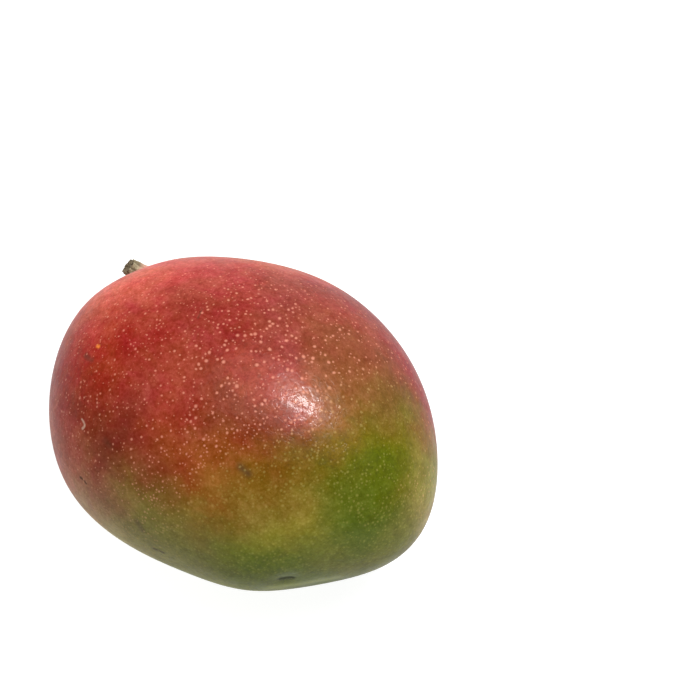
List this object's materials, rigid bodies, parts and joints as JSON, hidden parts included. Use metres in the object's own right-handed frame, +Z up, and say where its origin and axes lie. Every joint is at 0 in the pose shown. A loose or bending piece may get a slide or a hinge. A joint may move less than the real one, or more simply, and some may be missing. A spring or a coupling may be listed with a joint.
{
  "type": "mango",
  "caption": "Whole ripe mango, a rounded oval fruit with a slight beak, lying on one cheek with its short woody stem stub.",
  "frame": {"origin": "middle of the small flat spot on the lower cheek that the fruit lies on", "axes": "+X from the stem end to the apex, +Y to the back edge, +Z up through the two cheeks"},
  "size_m": [0.1222, 0.0993, 0.083],
  "materials": {
    "skin": "smooth waxy satin fruit skin, red at the stem end and green at the apex, with pale dots",
    "stalk_wood": "dry ridged grey-olive stalk with a dark cut end"
  },
  "bodies": {
    "root": {"fruit": "skin", "stem_stub": "stalk_wood"}
  },
  "joints": []
}
